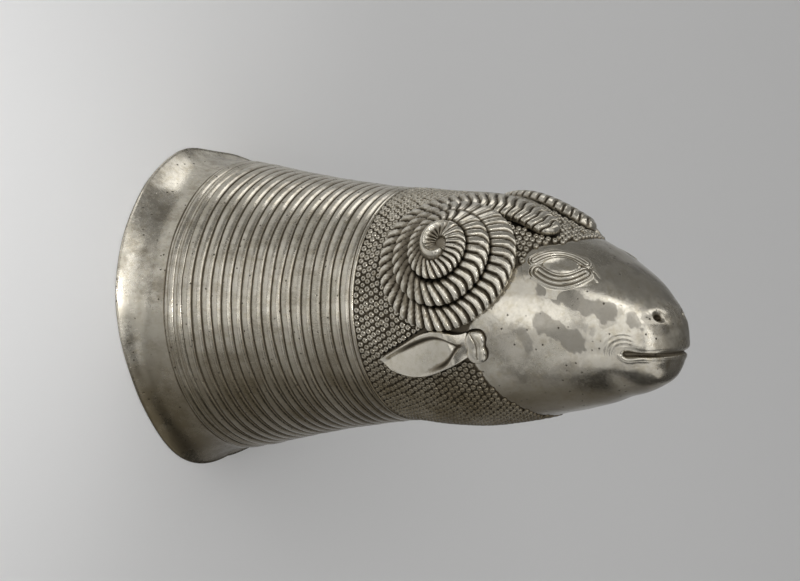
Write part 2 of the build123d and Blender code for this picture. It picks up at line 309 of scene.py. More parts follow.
class Seat:
    """A plane on the head's right side: its x points to the muzzle, y to the crown, z outwards."""

    # For plant: the step that gives the slopes, and the rounds of the search
    STEP, ROUNDS = 0.5, 12

    def __init__(self, along, angle, tilt=0.0):
        self.along, self.angle = along, angle
        self.origin, self.z = head_at(along, angle)
        ahead = head_at(along + 0.4, angle)[0] - self.origin
        x = unit(ahead - self.z * (ahead @ self.z))
        y = np.cross(self.z, x)
        turn = math.radians(tilt)
        self.x = x * math.cos(turn) + y * math.sin(turn)
        self.y = y * math.cos(turn) - x * math.sin(turn)

    def place(self, points):
        """The (a, b) of points in this plane."""
        return (points - self.origin) @ self.x, (points - self.origin) @ self.y

    def place_of(self, along, angle):
        """The (a, b) of a place on the head."""
        return np.array(self.place(head_at(along, angle)[0]))

    def plant(self, a, b):
        """Points and normals on the head that lie over (a, b) of this plane."""
        here = self.place_of(self.along, self.angle)
        ahead = self.place_of(self.along + self.STEP, self.angle)
        beside = self.place_of(self.along, self.angle + self.STEP)
        inverse = np.linalg.inv(np.stack([ahead - here, beside - here], -1) / self.STEP)
        along, angle = np.full(np.shape(a), float(self.along)), np.full(np.shape(a), float(self.angle))
        for _ in range(self.ROUNDS):
            got_a, got_b = self.place(head_at(along, angle)[0])
            miss_a, miss_b = a - got_a, b - got_b
            along = along + inverse[0, 0] * miss_a + inverse[0, 1] * miss_b
            angle = angle + inverse[1, 0] * miss_a + inverse[1, 1] * miss_b
        return head_at(along, angle)


# Pieces


def show(name, data):
    """Put a new object with this data into the scene."""
    thing = bpy.data.objects.new(name, data)
    bpy.context.scene.collection.objects.link(thing)
    return thing


def add_piece(name, points, faces, recess, material, stands_for, dark_reflection=None):
    """Make one smooth-shaded mesh piece that rides on the cup and stands for a CAD node."""
    mesh = bpy.data.meshes.new(name)
    corners = [face for part in faces for face in part.tolist()]
    mesh.from_pydata((points * MM).tolist(), [], corners)
    # The recess layer holds tarnish, dirt and some painted shade; the other one painted dark reflections
    layers = {"recess": recess, "dark_reflection": np.zeros(len(points)) if dark_reflection is None else dark_reflection}
    for layer, values in layers.items():
        attribute = mesh.attributes.new(layer, "FLOAT", "POINT")
        attribute.data.foreach_set("value", np.clip(values, 0, 1).astype(np.float32))
    mesh.polygons.foreach_set("use_smooth", np.ones(len(mesh.polygons), bool))
    mesh.materials.append(material)
    mesh.update()
    piece = show(name, mesh)
    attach(piece, "root")
    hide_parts(stands_for)


def add_pair(name, points, faces, recess, material, stands_for):
    """Make a piece on the ram's right side and its mirror image on the left."""
    for side, sign in (("right", 1), ("left", -1)):
        node = stands_for if stands_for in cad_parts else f"{stands_for}_{side}"
        turned = [part[:, ::sign] for part in faces]
        add_piece(f"{name}_{side}", points * (1, sign, 1), turned, recess, material, node)


def add_pads(name, points, bottom, recess, material, stands_for):
    """Make a pair of closed pads, each from rings of points and a bottom point."""
    rows, columns = points.shape[:2]
    points = points.reshape(-1, 3)
    points = np.concatenate([points, [points[:columns].mean(0), bottom]])
    first, last = end_loops(rows, columns)
    faces = [
        grid_faces(rows, columns, False, True)[:, ::-1],
        fan_faces(first, rows * columns),
        fan_faces(last[::-1], rows * columns + 1),
    ]
    recess = np.append(recess.reshape(-1), [0, 1])
    add_pair(name, points, faces, recess, material, stands_for)


# Materials


class Nodes:
    """Short calls that add and join the nodes of a material or world."""

    def __init__(self, owner, coordinates):
        owner.use_nodes = True
        self.tree = owner.node_tree
        self.place = self.add("TexCoord").outputs[coordinates]

    def link(self, source, socket):
        """Feed a socket with another node's output, or with a number or colour."""
        if isinstance(source, bpy.types.NodeSocket):
            self.tree.links.new(source, socket)
        else:
            socket.default_value = source

    def add(self, kind, sources=None, **settings):
        """Add a node with these settings and feed its inputs."""
        node = self.tree.nodes.new("ShaderNode" + kind)
        for name, value in settings.items():
            setattr(node, name, value)
        for socket, source in (sources or {}).items():
            self.link(source, node.inputs[socket])
        return node

    def noise(self, size, detail=4.0, rough=0.55, stretch=(1, 1, 1)):
        """Noise with features of about size millimetres."""
        place = self.add("Mapping", {"Vector": self.place, "Scale": stretch}).outputs["Vector"]
        shape = {"Scale": 1 / (size * MM), "Detail": detail, "Roughness": rough}
        return self.add("TexNoise", {"Vector": place, **shape}).outputs["Fac"]

    def cells(self, size):
        """Distance from cell centres and a random value for each cell."""
        node = self.add("TexVoronoi", {"Vector": self.place, "Scale": 1 / (size * MM)})
        split = self.add("SeparateColor", {"Color": node.outputs["Color"]})
        return node.outputs["Distance"], split.outputs["Red"]

    def axis(self, name):
        """One coordinate of the place."""
        return self.add("SeparateXYZ", {"Vector": self.place}).outputs[name]

    def attribute(self, name):
        """A value that the mesh stores at its points."""
        return self.add("Attribute", attribute_name=name).outputs["Fac"]

    def range(self, value, low, high, to_low=0.0, to_high=1.0, course="SMOOTHSTEP"):
        """Map low..high to to_low..to_high, within those ends."""
        ends = {"From Min": low, "From Max": high, "To Min": to_low, "To Max": to_high}
        node = self.add("MapRange", {"Value": value, **ends}, interpolation_type=course)
        return node.outputs["Result"]

    def math(self, operation, a, b):
        return self.add("Math", {0: a, 1: b}, operation=operation).outputs["Value"]

    def times(self, a, b):
        return self.math("MULTIPLY", a, b)

    def coat(self, base, colour, share, strength=None):
        """Cover a base colour with another one, by a share and a strength."""
        if strength is not None:
            share = self.times(share, strength)
        sources = {"Factor": share, "A": base, "B": colour}
        return self.add("Mix", sources, data_type="RGBA").outputs["Result"]


CLEAN_SILVER = (0.63, 0.595, 0.515, 1)
WARM_SILVER = (0.48, 0.43, 0.325, 1)
GREY_SILVER = (0.36, 0.335, 0.275, 1)
# Grey of random stains and of the painted dark reflections on the face
STAIN_AND_DARK_REFLECTION = (0.22, 0.205, 0.175, 1)
# Brown of a coat all over and of the painted shade on the chin side
BROWN_FILM_AND_SHADE = (0.12, 0.098, 0.061, 1)
# The next two are tarnish and dirt, and also the painted shade in some recesses
TARNISH_AND_SHADE = (0.18, 0.15, 0.105, 1)
DIRT_AND_SHADE = (0.05, 0.04, 0.027, 1)
# Sizes of the patterns in the metal
PATCH_SIZE, FINE_SIZE, SCRATCH_SIZE = 16, 2.2, 0.9
BLOT_SIZE, ISLAND_SIZE, PIT_SPACING = 5.5, 13, 2.2
BUMP_DEPTH = 0.05


def silver(name, tarnish, polish, pits, dull=0.0, grain=1.0, stains=0.0, chin_shade=(0, 33), streak=1.0,
           mottling=0.0):
    """Old silver: tarnished in patches, with tarnish, dirt and in places painted shade in its recesses,
    pits and fine scratches.

    tarnish is the share of dull patches, polish the roughness of the clean metal, pits the share of
    cells with a dark pit, dull the share of a brown coat all over, grain the size of the patches,
    stains the strength of sharp-edged dark patches, streak how far scratches and blots are drawn out
    along the cup, mottling the strength of the blots. A painted shade in the same brown darkens the
    chin side, between the two distances from the axis in chin_shade. Painted dark reflections come
    from a layer of the mesh.
    """
    material = bpy.data.materials.new(name)
    n = Nodes(material, "Object")
    drawn_out = (1, 1, 1 / streak)
    broad = n.noise(PATCH_SIZE * grain, 5)
    fine = n.noise(FINE_SIZE * grain, 6, 0.65)
    scratch = n.noise(SCRATCH_SIZE, 3, 0.6, drawn_out)
    recess = n.attribute("recess")
    patches = n.range(broad, 0.62 - 0.3 * tarnish, 0.74 - 0.2 * tarnish)
    colour = n.coat(CLEAN_SILVER, WARM_SILVER, n.range(fine, 0.42, 0.72), 0.65)
    colour = n.coat(colour, GREY_SILVER, patches, tarnish)
    if mottling:
        blots = n.noise(BLOT_SIZE, 7, 0.68, drawn_out)
        colour = n.coat(colour, TARNISH_AND_SHADE, n.range(blots, 0.44, 0.68), mottling)
    if stains:
        islands = n.noise(ISLAND_SIZE * grain, 7, 0.52)
        colour = n.coat(colour, STAIN_AND_DARK_REFLECTION, n.range(islands, 0.54, 0.565), stains)
    # Painted dark reflections, stored on the face's mesh
    colour = n.coat(colour, STAIN_AND_DARK_REFLECTION, n.attribute("dark_reflection"))
    # Painted shade: darker and browner towards the chin side
    painted_chin_shade = n.range(n.axis("X"), chin_shade[0] * MM, chin_shade[1] * MM)
    painted_chin_shade = n.times(painted_chin_shade, n.range(broad, 0.2, 0.7, 0.75, 1.0))
    colour = n.coat(colour, BROWN_FILM_AND_SHADE, n.math("MAXIMUM", painted_chin_shade, dull))
    # Tarnish and dirt in the recesses, and painted shade where the recess values stand for shadow
    uneven_recess = n.math("ADD", recess, n.times(fine, 0.5))
    colour = n.coat(colour, TARNISH_AND_SHADE, n.range(uneven_recess, 0.35, 0.85), 0.85)
    colour = n.coat(colour, DIRT_AND_SHADE, n.range(recess, 0.55, 0.98))
    distance, chance = n.cells(PIT_SPACING)
    pit = n.times(n.range(distance, 0.17, 0.09), n.range(chance, 1 - pits, 1.001 - pits))
    colour = n.coat(colour, DIRT_AND_SHADE, pit, 0.92)
    rough = n.range(scratch, 0.3, 0.75, polish, polish + 0.1)
    rough = n.math("ADD", rough, n.times(patches, 0.08))
    rough = n.math("ADD", rough, n.times(n.range(recess, 0.05, 0.75), 0.3))
    height = n.math("SUBTRACT", n.times(scratch, 0.2 * streak), n.times(pit, 2.0))
    height = n.math("ADD", height, n.times(fine, 0.8))
    bump = n.add("Bump", {"Height": height, "Distance": BUMP_DEPTH * MM})
    shader = n.tree.nodes["Principled BSDF"]
    shader.inputs["Metallic"].default_value = 1.0
    n.link(colour, shader.inputs["Base Color"])
    n.link(rough, shader.inputs["Roughness"])
    n.link(bump.outputs["Normal"], shader.inputs["Normal"])
    return material


# The cup


CUP_COLUMNS = 320
# How far the rim is bent inwards: angle, millimetres
RIM_BEND = [
    (0, 4.6), (12, 4.7), (30, 3.5), (60, 1.1), (95, 0.4), (130, 1.5), (158, 4.1), (172, 4.7),
    (183, 3.9), (194, 1.4), (206, 0.2), (225, 0.0), (250, 0.1), (270, 1.2), (297, 3.0), (318, 1.9),
    (334, 0.9), (346, 1.9), (360, 4.6),
]
LIP_ROWS = 34
# Rounding of the rim: in from its edge on the flat, and in and up on its sides
RIM_ROUNDING, RIM_EDGE = 0.4, (0.12, 0.35)
# Dents and bumps in the lip: how many, and the least and most of their sizes and depths
DENT_COUNT, DENT_SIZE, DENT_DEPTH = 90, (3, 7), (-0.17, 0.13)
# Shares of the ring's width at which a fine line is cut
RING_LINES = 0.2, 0.72
# Shares of a rib's width at which its points lie; a faint line runs beside the groove
RIB_STEPS = (0, 0.03, 0.07, 0.11, 0.15, 0.19, 0.26, 0.36, 0.48, 0.6, 0.72, 0.82, 0.9, 0.95, 0.98)
RIB_LINE = 0.15


def waves(turn, count, size, draws):
    """A slow irregular wave round the axis, built from count sines."""
    phases = draws.uniform(0, 2 * np.pi, count)
    sizes = draws.uniform(0.3, 1, count) * size / np.sqrt(count)
    return sum(s * np.sin((k + 1) * turn + p) for k, (s, p) in enumerate(zip(sizes, phases)))


def add_rings(name, radius, height, recess, material, stands_for):
    """Make a closed piece from rings round the axis, with a radius and height for each point."""
    turn = round_turns(CUP_COLUMNS)
    points = np.stack([radius * np.cos(turn), radius * np.sin(turn), height], -1).reshape(-1, 3)
    faces = grid_faces(len(radius), CUP_COLUMNS, True, True)[:, ::-1]
    dirt = np.repeat(recess, CUP_COLUMNS)
    add_piece(name, points, [faces], dirt, material, stands_for)


def lathe(name, profile, recess, bend, material, stands_for):
    """Make a ring from a closed profile of (radius, height), with its points bent a little."""
    radius = np.repeat(profile[:, :1], CUP_COLUMNS, 1)
    height = np.repeat(profile[:, 1:], CUP_COLUMNS, 1)
    radius, height = bend(radius, height, round_turns(CUP_COLUMNS)[None, :])
    add_rings(name, radius, height, recess, material, stands_for)


def lip_profile():
    """The lip's closed profile, up its outside and down its inside, and its dirt."""
    share = np.linspace(0, 1, LIP_ROWS)
    straight = RIM_RADIUS + (LIP_FOOT_RADIUS - RIM_RADIUS) * share
    outside = np.stack([straight - 4 * LIP_FLARE_SAG * share * (1 - share), RING_LOW * share], -1)
    inner_rim = RIM_RADIUS - LIP_WALL
    outside[0] = RIM_RADIUS - RIM_EDGE[0], RIM_EDGE[1]
    foot = [
        (SEAT_RADIUS, RING_LOW + 0.01),
        (SEAT_RADIUS, LIP_TOP),
        (SEAT_RADIUS - BODY_WALL, LIP_TOP),
    ]
    inside = outside[::-2] - (LIP_WALL, 0)
    inside[-1] = inner_rim + RIM_EDGE[0], RIM_EDGE[1]
    rim = [(inner_rim + RIM_ROUNDING, 0), (RIM_RADIUS - RIM_ROUNDING, 0)]
    recess = np.repeat([0, 0.8, 0.5, 0], [LIP_ROWS - 1, len(foot) + 1, len(inside), len(rim)])
    return np.concatenate([outside, foot, inside, rim]), recess


def make_lip(material):
    """The flared lip: hammered sheet, pressed in at the crown and chin, with a rounded rim."""
    middle = (RIM_RADIUS + LIP_FOOT_RADIUS) / 2
    draws = seeded(DENT_DRAWS)
    ranges = (0, 360), (1, RING_LOW), DENT_SIZE, DENT_DEPTH
    dents = [[draws.uniform(*ends) for ends in ranges] for _ in range(DENT_COUNT)]

    def bend(radius, height, turn):
        low = ease(RING_LOW, 0, height)
        bent = np.maximum(curve(RIM_BEND, np.degrees(turn)), 0) * low ** 1.3
        shift = -bent - np.abs(waves(turn, 12, 0.14, seeded(RIM_DRAWS))) * low
        for angle, at, size, depth in dents:
            off = np.radians((np.degrees(turn) - angle + 180) % 360 - 180) * middle
            shift = shift + depth * bell(off, size) * bell(height - at, size)
        return radius + shift, height

    lathe("lip_sheet", *lip_profile(), bend, material, "lip_band")


def make_ring(material):
    """The ring over the lip seam: two ridges, each with a fine cut line."""
    width = RIBS_START - RING_LOW
    share = np.linspace(0, 1, 61)
    ridges = np.abs(np.sin(2 * np.pi * share)) ** 0.5
    line = sum(bell(share - place, 0.03) for place in RING_LINES)
    seat = LIP_FOOT_RADIUS + (BODY_TOP_RADIUS - LIP_FOOT_RADIUS) * share - 0.25
    outside = np.stack([seat + RING_RIDGE_HEIGHT * ridges - 0.14 * line, RING_LOW + width * share], -1)
    bore = BODY_TOP_RADIUS - 0.4
    profile = np.concatenate([outside, [(bore, RIBS_START), (bore, RING_LOW)]])
    recess = np.append(deepest(ease(0.45, 0.0, ridges), 0.6 * line), [1, 1])

    def bend(radius, height, turn):
        draws = seeded(RING_DRAWS)
        return radius + waves(turn, 14, 0.16, draws), height + waves(turn, 8, 0.12, draws)

    lathe("lip_seam_ring", profile, recess, bend, material, "lip_ring")


def body_radius(height):
    """Outside radius of the body's smooth line."""
    share = (height - RIBS_START) / (NECK_HEIGHT - RIBS_START)
    straight = BODY_TOP_RADIUS + (NECK_RADIUS - BODY_TOP_RADIUS) * share
    return straight - 4 * BODY_WAIST_SAG * share * (1 - share)


def groove_heights(turn, draws):
    """Heights of the grooves round the cup: they waver, apart from the first and the last."""
    pitch = (NECK_HEIGHT - RIBS_START) / RIB_COUNT
    level = np.zeros_like(turn)
    sways = [level, *(waves(turn, 11, 0.2, draws) for _ in range(RIB_COUNT - 1)), level]
    return [RIBS_START + groove * pitch + sway for groove, sway in enumerate(sways)]


def body_inside():
    """Radii and heights of the body's inside, from the tongue down to the seat in the lip."""
    wall = np.linspace(NECK_HEIGHT, LIP_TOP, 30)
    heights = np.concatenate([[TONGUE_END, TONGUE_END], wall, [LIP_TOP, RIBS_START]])
    radii = body_radius(np.clip(heights, RIBS_START, NECK_HEIGHT)) - BODY_WALL
    radii[0] = body_radius(NECK_HEIGHT) - BODY_WALL - 0.05
    radii[1:3] -= BODY_WALL
    radii[-2:] = SEAT_RADIUS
    return radii, heights


def make_body(material):
    """The ribbed body: broad rounded ribs between narrow chased grooves that waver a little."""
    turn = round_turns(CUP_COLUMNS)
    draws = seeded(RIB_DRAWS)
    grooves = groove_heights(turn, draws)
    rows, recess = [], []
    for low, high in zip(grooves, grooves[1:]):
        height_change = 1 + waves(turn, 7, 0.14, draws)
        line = draws.uniform(0.0, 0.11)
        for share in RIB_STEPS:
            height = low * (1 - share) + high * share
            arch = 1 - abs(2 * share - 1) ** 2.6
            rise = RIB_HEIGHT * arch * height_change - line * bell(share - RIB_LINE, 0.04)
            rows.append((body_radius(height) + rise, height))
            line_dirt = 6 * line * bell(share - RIB_LINE, 0.05)
            recess.append(max(bell(share, 0.13), bell(share - 1, 0.1), line_dirt))
    for radius, height in zip(*body_inside()):
        rows.append((np.full(CUP_COLUMNS, radius), np.full(CUP_COLUMNS, height)))
        recess.append(0.6)
    radius, height = np.array(rows).swapaxes(0, 1)
    add_rings("body_ribs", radius, height, recess, material, "ribbed_wall")


def make_neck_ring(material):
    """The narrow ring on the neck, beside the fleece."""
    share = np.linspace(0, 1, 15)
    arch = np.sin(np.pi * share) ** 0.7
    heights = NECK_HEIGHT + (NECK_RING_TOP - NECK_HEIGHT) * share
    outside = np.stack([NECK_RADIUS + NECK_RING_HEIGHT * arch, heights], -1)
    bore = NECK_RADIUS - 0.5
    profile = np.concatenate([outside, [(bore, NECK_RING_TOP), (bore, NECK_HEIGHT)]])
    recess = np.append(0.9 - arch, [1, 1])

    def bend(radius, height, turn):
        return radius + waves(turn, 12, 0.1, seeded(NECK_DRAWS)), height

    lathe("neck_wire", profile, recess, bend, material, "neck_ring")


# The head


# Edge between fleece and face: degrees from the crown, and place along the head in percent
FLEECE_EDGE = [
    (0, 68.0), (12, 67.4), (20, 66.1), (28, 64.6), (34, 62.6), (40, 60.6), (46, 59.3), (53, 59.2),
    (58, 58.2), (64, 55.6), (78, 49.4), (95, 43.5), (108, 41.6), (121, 43.2), (137, 46.3),
    (147, 48.6), (158, 50.8), (180, 53.0),
]
FLEECE_SINK = 0.35
FLEECE_ROWS, FLEECE_COLUMNS, FLEECE_OVERLAP = 90, 240, 0.6
FACE_START = 37.0
FACE_HAMMER = 0.07
FACE_ROWS, FACE_COLUMNS = 200, 480

# Mouth: level of the slit in front and at its corner, the corner's distance behind the muzzle
MOUTH_FRONT, MOUTH_BACK = 15.3, 14.4
MOUTH_CORNER = 12.3
MOUTH_DEPTH = 1.4
SLIT_HALF, CORNER_WIDENING = 0.62, 0.4
LOWER_LIP, UPPER_LIP = 0.22, 0.08
MUZZLE_WEAR = 0.3
# Nostril: its place, how its pit is drawn out, and the crease that leads from it
NOSTRIL = np.array([3.5, 7.6, -3.2])
NOSTRIL_SHAPE = 1.0, 0.72, 0.55
NOSTRIL_DEPTH = 1.2
NOSTRIL_CREASE = np.array([1.3, -2.6, 1.7])
CREASE_DEPTH = 0.14
WRINKLE_REACH, WRINKLE_PITCH, WRINKLE_HEIGHT = 4.4, 1.35, 0.08
# Painted dark reflection over the bridge of the nose: strength, slope of its edge, where that starts
BRIDGE_DARK_REFLECTION, BRIDGE_SLOPE, BRIDGE_START = 0.42, 0.56, 7.0
# Painted dark reflections on the right cheek: along and angle of both ends, half-width, strength
FACE_DARK_REFLECTIONS = [
    (65.5, 255.0, 84.0, 258.0, 2.9, 0.8),
    (64.0, 276.5, 76.0, 286.5, 2.7, 0.75),
    (90.6, 249.0, 91.3, 258.0, 1.9, 0.75),
    (58.0, 281.0, 59.5, 288.0, 1.5, 0.55),
    (93.2, 245.0, 97.2, 243.0, 1.5, 0.5),
]


def fleece_edge(angle):
    """Place along the head where the fleece ends, at an angle round the axis."""
    from_crown = np.abs((np.asarray(angle, float) % 360) - 180)
    return curve(FLEECE_EDGE, from_crown)


def mouth_level(back):
    """Level of the mouth's slit, at a distance behind the muzzle."""
    return MOUTH_FRONT + (MOUTH_BACK - MOUTH_FRONT) * ease(0, MOUTH_CORNER, back)


def mouth_relief(x, back):
    """Height and recess of the mouth: a slit with a wider, rounded corner and rolled lips."""
    behind = np.maximum(back - MOUTH_CORNER + 1.1, 0)
    across = x - mouth_level(back)
    from_slit = np.hypot(across, behind)
    half = SLIT_HALF + CORNER_WIDENING * bell(back - MOUTH_CORNER + 1.7, 2.0)
    slit = ease(1.35 * half, 0.3 * half, from_slit)
    lips = bell(from_slit - half - 0.9, 0.7) * np.where(across > 0, LOWER_LIP, UPPER_LIP)
    overhang = 0.2 * bell(across + 2.2, 1.6) * ease(MOUTH_CORNER, 6, back)
    front = ease(6, 0, back)
    shut = 0.9 * bell(across + 0.6, 0.9) * front + 0.8 * ease(0, 1.2, across) * front
    height = lips + overhang - MOUTH_DEPTH * (1 - 0.45 * front) * slit - shut
    return height, 0.76 * ease(0.2, 0.75, slit)


def nostril_relief(x, side, back):
    """Height and recess of the nostrils: a pit with a crease beside it, under a raised wing."""
    offset = np.stack([x - NOSTRIL[0], side - NOSTRIL[1], -back - NOSTRIL[2]], -1)
    from_pit = np.linalg.norm(offset * NOSTRIL_SHAPE, axis=-1)
    pit = ease(1.8, 0.5, from_pit)
    share = np.clip(offset @ NOSTRIL_CREASE / (NOSTRIL_CREASE @ NOSTRIL_CREASE), 0, 1)
    crease = bell(np.linalg.norm(offset - share[..., None] * NOSTRIL_CREASE, axis=-1), 0.75)
    wing = 0.14 * bell(from_pit - 2.6, 1.7) * ease(1.0, -1.2, offset[..., 0])
    under = 0.2 * bell(offset[..., 0] - 2.9, 1.5) * bell(from_pit, 5.0)
    height = wing + under - NOSTRIL_DEPTH * pit - CREASE_DEPTH * crease
    return height, deepest(ease(0.25, 0.8, pit), 0.3 * crease)


def wrinkle_relief(x, back):
    """Height and recess of the wrinkles behind and above the corner of the mouth."""
    rise, run = mouth_level(back) - x, back - MOUTH_CORNER + 1.0
    radius, heading = np.hypot(rise, run), np.degrees(np.arctan2(rise, run))
    window = bell(radius - WRINKLE_REACH, 2.0) * ease(-25, 20, heading) * ease(125, 85, heading)
    fold = np.cos(2 * np.pi * radius / WRINKLE_PITCH + 0.02 * heading)
    return WRINKLE_HEIGHT * fold * window, 0.3 * window * ease(0.2, -0.9, fold)


def face_relief(points):
    """Height above the head's smooth outside, and how deep in a recess each point lies."""
    x, side = points[..., 0], np.abs(points[..., 1])
    back = MUZZLE_HEIGHT - points[..., 2]
    reliefs = [mouth_relief(x, back), nostril_relief(x, side, back), wrinkle_relief(x, back)]
    heights, recesses = zip(*reliefs)
    # Jaw crease behind the mouth, a dip under the chin, a hollow before the eye, a blunt muzzle
    jaw = bell(x - 13.6, 1.7) * bell(back - 19.5, 6.0)
    chin = bell(back - 17.5, 4.5) * ease(14, 24, x)
    cheek = bell(x - 4.0, 5.0) * bell(back - 15.0, 5.5)
    height = sum(heights) - 0.45 * jaw - 0.45 * chin - 0.35 * cheek - 0.45 * bell(back, 3.0)
    recess = deepest(*recesses, MUZZLE_WEAR * ease(8.0, 2.0, back))
    return height - eye_socket(points), recess


def hammered(points, count, size, height, number):
    """A slow irregular unevenness over the places: count waves of about size, height in all."""
    draws = seeded(number)
    total = np.zeros(points.shape[:-1])
    for _ in range(count):
        heading = unit(draws.normal(size=3))
        length = size * draws.uniform(0.7, 1.6)
        total += np.sin(2 * np.pi * (points @ heading) / length + draws.uniform(0, 2 * np.pi))
    return height * total / math.sqrt(count)


def face_dark_reflections(points):
    """Strength of the painted dark reflections on the right cheek and over the bridge, at points on the face."""
    seat = Seat(72.0, 268.0)
    a, b = seat.place(points)
    ragged = hammered(points, 24, 5, 0.9, STAIN_DRAWS) + hammered(points, 24, 1.7, 0.35, SPECK_DRAWS)
    dark_reflection = np.zeros(len(points))
    for along0, angle0, along1, angle1, half, strength in FACE_DARK_REFLECTIONS:
        ends, _ = head_at(np.array([along0, along1]), np.array([angle0, angle1]))
        reach = distance_to_line(a, b, np.stack(seat.place(ends), -1)) + ragged
        dark_reflection = np.maximum(dark_reflection, strength * ease(half + 0.25, half - 0.25, reach))
    # Painted dark reflection over the bridge, above a straight edge
    above = points[:, 0] - BRIDGE_SLOPE * (points[:, 2] - MUZZLE_HEIGHT + BRIDGE_START)
    bridge = BRIDGE_DARK_REFLECTION * ease(1.5, -2.5, above + ragged)
    return np.maximum(dark_reflection * (points[:, 1] < 0), bridge)


def head_skin(rows, columns):
    """A grid of the head's skin with its relief, and the recess of each point."""
    points = head_sections(rows, columns)
    normals = grid_normals(points)
    along = 100 * head_line("height", rows) / HEAD_LENGTH
    angle = np.arange(columns) * 360 / columns
    fleece = ease(0.7, -0.5, along[:, None] - fleece_edge(angle)[None, :])
    height, recess = face_relief(points)
    height = height + hammered(np.abs(points), 20, 11, FACE_HAMMER, HAMMER_DRAWS)
    moved = points + normals * (height - FLEECE_SINK * fleece)[..., None]
    moved[..., 2] = np.minimum(moved[..., 2], MUZZLE_HEIGHT)
    dirt = np.maximum(recess, 0.82 * fleece)
    return moved.reshape(-1, 3), grid_faces(len(rows), columns, False, True), dirt.reshape(-1)


def make_head(face_material, fleece_material):
    """The head's skin in two parts: the smooth face, and the ground of the fleece behind it."""
    start = path_at(FACE_START)
    share = np.linspace(0, 1, FACE_ROWS)
    rows = start + (HEAD_TIP - 0.2 - start) * (1 - (1 - share) ** 1.25)
    points, faces, recess = head_skin(rows, FACE_COLUMNS)
    _, last = end_loops(FACE_ROWS, FACE_COLUMNS)
    points = np.concatenate([points, [points[last].mean(0)]])
    faces = [faces, fan_faces(last, len(points) - 1)]
    # Painted dark reflections on the cheek and the bridge of the nose
    dark_reflection = face_dark_reflections(points)
    recess = np.append(recess, 0)
    add_piece("face_skin", points, faces, recess, face_material, "head_shell", dark_reflection)
    rows = np.linspace(0, start + FLEECE_OVERLAP, FLEECE_ROWS)
    points, faces, recess = head_skin(rows, FLEECE_COLUMNS)
    add_piece("fleece_ground", points, [faces], recess, fleece_material, "head_shell")


# Horns


HORN_ALONG, HORN_ANGLE = 35.4, 242.0
HORN_TALLNESS = 1.08
HORN_ROOT_TURN, HORN_TIP_TURN = 42, 1400
HORN_COIL_RADIUS = 19.3
# Along the horn: turn in degrees, radius of the coil, width of the band, height over the head
HORN_COURSE = [
    (HORN_ROOT_TURN, 34.2, 8.4, 0.9), (48, 32.0, 9.8, 0.9), (55, 29.8, 10.8, 0.9),
    (70, 25.4, 11.4, 0.9), (85, 22.2, 11.3, 0.9), (100, 20.5, 10.4, 0.9), (140, 19.7, 8.7, 0.9),
    (180, HORN_COIL_RADIUS, 8.0, 0.9), (360, 16.3, 8.2, 2.6), (540, 13.0, 8.0, 4.4),
    (720, 9.8, 7.3, 6.2), (900, 7.1, 6.3, 7.9), (1080, 4.6, 6.2, 9.3), (1190, 3.4, 5.6, 9.9),
    (1290, 2.7, 4.9, 10.3), (HORN_TIP_TURN, 2.0, 3.6, 10.6),
]
HORN_STEPS = 3000
HORN_BAND = 7.7
# Lean of the band on the coil and back at its tip, in degrees
HORN_LEAN, TIP_LEAN = 19, 48
# Distance between the cross ridges: turn in degrees, millimetres
RIDGE_PITCH = [
    (HORN_ROOT_TURN, 2.7), (180, 2.8), (360, 2.85), (700, 2.8), (900, 2.1), (1080, 1.65),
    (HORN_TIP_TURN, 1.1),
]
RIDGE_DEPTH = 0.14
RIDGE_STEPS = 10
SECTION_POINTS = 40
# Bowl in the middle of the coil: points on its edge, radius, height over the head
CORE_POINTS, CORE_RADIUS, CORE_LIFT = 44, 3.4, 10.1


def horn_line(turn):
    """The right horn's centre line, its direction out of the head, its width, the points below."""
    turns, radii, widths, lifts = zip(*HORN_COURSE)
    radius = spline(turns, radii, turn)
    along = HORN_ALONG + 100 * radius * np.cos(np.radians(turn)) / HEAD_LENGTH
    angle = HORN_ANGLE - np.degrees(HORN_TALLNESS * radius * np.sin(np.radians(turn)) / NECK_RADIUS)
    points, outwards = head_at(along, angle)
    lift = np.interp(turn, turns, lifts)
    return points + outwards * lift[:, None], outwards, spline(turns, widths, turn), points


def horn_rings():
    """Turn, number of ridges so far and path length, at each ring of points along the horn."""
    turn = np.linspace(HORN_ROOT_TURN, HORN_TIP_TURN, HORN_STEPS)
    path = path_length(horn_line(turn)[0])
    count = running_sum(np.diff(path) / np.interp(turn[1:], *zip(*RIDGE_PITCH)))
    ridges = np.linspace(0, count[-1], int(count[-1] * RIDGE_STEPS))
    return np.interp(ridges, count, turn), ridges, np.interp(ridges, count, path)


def horn_axes(turn, centre, outwards):
    """Directions across the band and out of it; it leans, so that the turns step up like a cone."""
    ahead = unit(np.gradient(centre, axis=0))
    across = unit(np.cross(ahead, outwards))
    out = np.cross(across, ahead)
    lean = np.radians(HORN_LEAN) * ease(120, 540, turn)
    lean = (lean - np.radians(TIP_LEAN) * ease(1100, 1260, turn))[:, None]
    return across * np.cos(lean) - out * np.sin(lean), out * np.cos(lean) + across * np.sin(lean)


def round_end(share):
    """Half-width of a round end, from 0 at its tip to 1."""
    return np.sqrt(np.clip(1 - (1 - np.clip(share, 0, 1)) ** 2, 0, 1))


